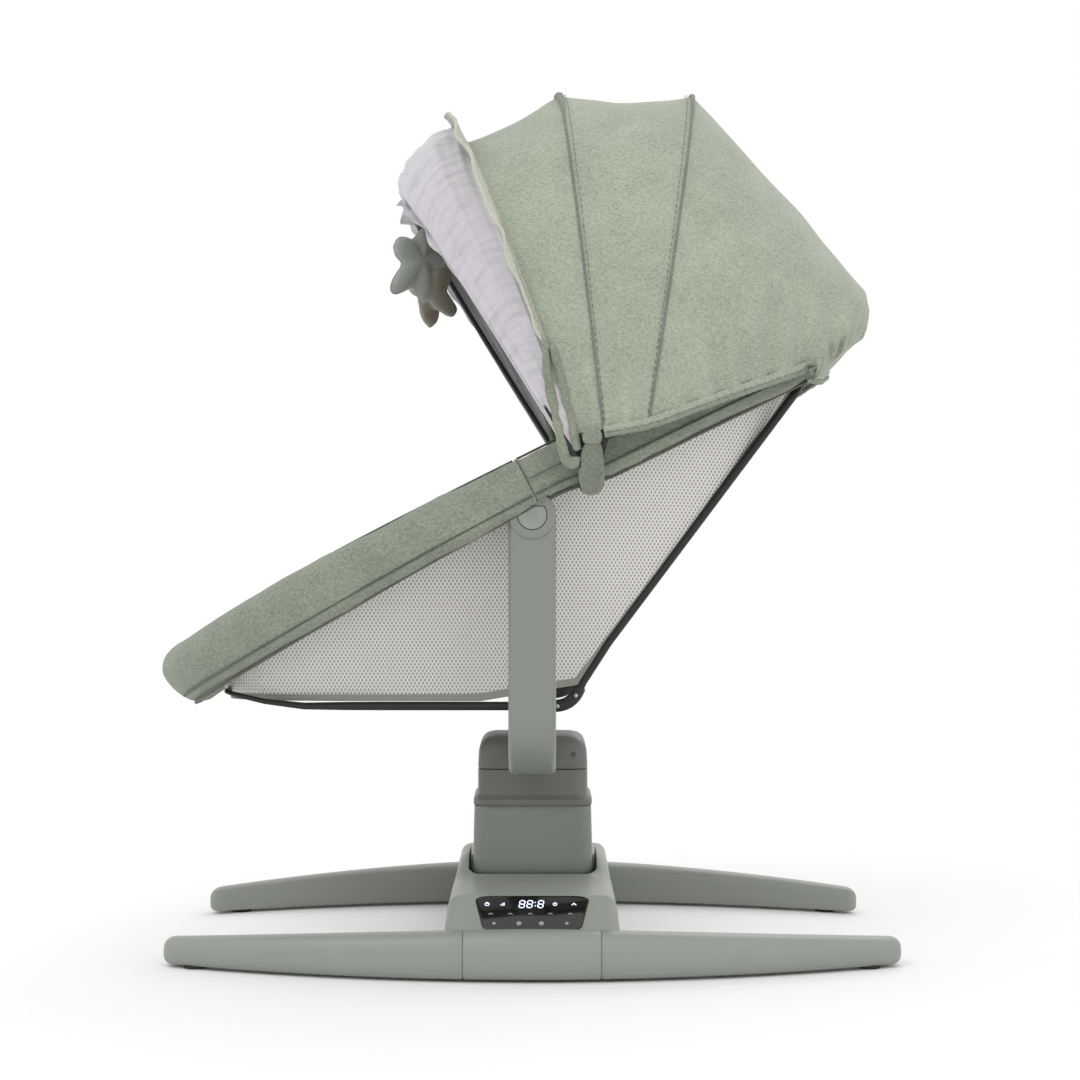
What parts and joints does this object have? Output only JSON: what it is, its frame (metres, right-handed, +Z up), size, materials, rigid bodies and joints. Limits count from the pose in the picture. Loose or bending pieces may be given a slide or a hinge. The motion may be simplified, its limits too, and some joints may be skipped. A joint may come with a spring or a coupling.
{
  "type": "baby swing",
  "caption": "Electric baby swing: curved-foot stand with a swaying tower and yoke, a reclining mesh seat with padded rim, folding canopy, net and hanging toys.",
  "frame": {"origin": "on the floor under the middle of the tower, at the underside of the base", "axes": "+Z up, +X towards the baby's head, -Y towards the baby's left, where the control panel is"},
  "size_m": [0.8003, 0.5586, 0.9414],
  "materials": {
    "stand_plastic": "moulded, fine texture, satin",
    "tower_plastic": "moulded, fine texture, satin",
    "cap_plastic": "moulded, fine texture",
    "arm_plastic": "moulded, satin",
    "black_plastic": "moulded, satin",
    "panel_gloss": "polished touch panel with lit symbols",
    "rubber": "matte",
    "steel": "turned",
    "dark_tube": "dark powder coat",
    "copper_winding": "enamelled wire",
    "circuit_board": "solder mask",
    "melange_cloth": "sage melange weave",
    "bucket_mesh": "open diamond mesh",
    "liner_cloth": "soft quilted liner",
    "webbing": "woven webbing",
    "net_cloth": "fine net",
    "plush_sage": "short plush",
    "plush_taupe": "short plush"
  },
  "bodies": {
    "base": {"base_bridge": "stand_plastic", "base_plate": "stand_plastic", "leg_left_foot": "stand_plastic", "leg_left_head": "stand_plastic", "leg_right_foot": "stand_plastic", "leg_right_head": "stand_plastic", "foot_pad_left_foot": "rubber", "foot_pad_left_head": "rubber", "foot_pad_right_foot": "rubber", "foot_pad_right_head": "rubber", "control_panel": "panel_gloss", "circuit_board": "circuit_board", "speaker": "black_plastic", "power_inlet": "black_plastic", "drive_coil": "copper_winding", "axle_bracket_foot": "steel", "axle_bracket_head": "steel", "sway_axle": "steel", "sway_spring_foot": "steel", "sway_spring_head": "steel"},
    "tower": {"tower_housing": "tower_plastic", "cap_lower": "cap_plastic", "cap_upper": "cap_plastic", "tower_core": "black_plastic", "drive_magnet": "steel", "arm_left": "arm_plastic", "arm_right": "arm_plastic", "recline_pin_left": "steel", "recline_pin_right": "steel"},
    "recline_button_left": {"recline_button_left": "stand_plastic"},
    "recline_button_right": {"recline_button_right": "stand_plastic"},
    "seat": {"rim_tube": "dark_tube", "rim_cover_foot": "melange_cloth", "rim_cover_head": "melange_cloth", "hub_bracket_left": "black_plastic", "hub_bracket_right": "black_plastic", "canopy_hinge_left": "black_plastic", "canopy_hinge_right": "black_plastic", "frame_corner_left": "black_plastic", "frame_corner_right": "black_plastic", "lower_frame": "dark_tube", "seat_bucket": "bucket_mesh", "seat_liner": "liner_cloth", "head_pillow": "liner_cloth", "shoulder_strap_left": "webbing", "shoulder_strap_right": "webbing", "crotch_strap": "webbing", "harness_buckle": "black_plastic"},
    "buckle_button": {"buckle_button": "black_plastic"},
    "bow_rear": {"bow_rear": "black_plastic", "canopy_cloth_rear": "melange_cloth"},
    "bow_middle": {"bow_middle": "black_plastic", "canopy_cloth_middle": "melange_cloth"},
    "bow_front": {"bow_front": "black_plastic", "canopy_cloth_front": "melange_cloth"},
    "toy_bar": {"toy_bar": "dark_tube", "net": "net_cloth"},
    "star_left": {"star_left": "plush_sage"},
    "star_right": {"star_right": "plush_taupe"}
  },
  "joints": [
    {"name": "sway", "type": "hinge", "parent": "base", "child": "tower", "pos_m": [0, 0, 0.05], "axis": [1, 0, 0], "range_deg": [-8, 8], "stiffness_Nm_per_rad": 95},
    {"name": "recline", "type": "hinge", "parent": "tower", "child": "seat", "pos_m": [0, 0, 0.4723], "axis": [0, 1, 0], "range_deg": [-8, 12]},
    {"name": "recline_button_left_press", "type": "slide", "parent": "tower", "child": "recline_button_left", "axis": [0, 1, 0], "range_m": [0, 0.004], "stiffness_N_per_m": 400},
    {"name": "recline_button_right_press", "type": "slide", "parent": "tower", "child": "recline_button_right", "axis": [0, -1, 0], "range_m": [0, 0.004], "stiffness_N_per_m": 400},
    {"name": "buckle_button_press", "type": "slide", "parent": "seat", "child": "buckle_button", "axis": [-0.2079, 0, -0.9781], "range_m": [0, 0.0025], "stiffness_N_per_m": 300},
    {"name": "canopy_fold", "type": "hinge", "parent": "seat", "child": "bow_rear", "pos_m": [0.06, 0, 0.505], "axis": [0, 1, 0], "range_deg": [0, 24], "deforming": ["canopy_cloth_rear"]},
    {"name": "canopy_middle_fold", "type": "hinge", "parent": "bow_rear", "child": "bow_middle", "pos_m": [0.06, 0, 0.505], "axis": [0, 1, 0], "range_deg": [0, 12], "deforming": ["canopy_cloth_middle"]},
    {"name": "canopy_front_fold", "type": "hinge", "parent": "bow_middle", "child": "bow_front", "pos_m": [0.06, 0, 0.505], "axis": [0, 1, 0], "range_deg": [0, 10], "deforming": ["canopy_cloth_front"]},
    {"name": "toy_arch_tilt", "type": "hinge", "parent": "bow_front", "child": "toy_bar", "pos_m": [0.06, 0, 0.505], "axis": [0, 1, 0], "range_deg": [-25, 5], "deforming": ["net"]},
    {"name": "star_left_swing", "type": "hinge", "parent": "toy_bar", "child": "star_left", "pos_m": [-0.12354, -0.13, 0.79545], "axis": [0, 1, 0], "range_deg": [-30, 30]},
    {"name": "star_right_swing", "type": "hinge", "parent": "toy_bar", "child": "star_right", "pos_m": [-0.12354, 0.13, 0.79545], "axis": [0, 1, 0], "range_deg": [-30, 30]}
  ],
  "couplings": [
    {"joint": "canopy_middle_fold", "follows": "canopy_fold", "ratio": 0.5},
    {"joint": "canopy_front_fold", "follows": "canopy_fold", "ratio": 0.41}
  ]
}
